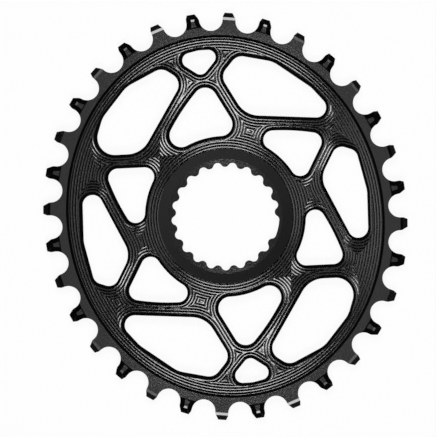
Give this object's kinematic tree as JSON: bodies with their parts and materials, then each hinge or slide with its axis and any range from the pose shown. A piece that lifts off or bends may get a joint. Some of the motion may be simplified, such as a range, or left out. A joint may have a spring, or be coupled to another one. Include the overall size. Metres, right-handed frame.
{
  "type": "bicycle chainring",
  "caption": "Oval direct-mount bicycle chainring machined from one plate, with alternating wide and narrow teeth, an open ribbed spider, a terraced front face and a splined bore.",
  "frame": {"origin": "on the crank axis, in the plane of the back (inboard) face", "axes": "+Z outboard, out of the front face; +Y along the oval's long axis; +X along its short axis. The ring lies on its back face."},
  "size_m": [0.1264, 0.1424, 0.0054],
  "materials": {
    "black_anodised": "satin black anodised, as machined"
  },
  "bodies": {
    "root": {"chainring": "black_anodised"}
  },
  "joints": []
}
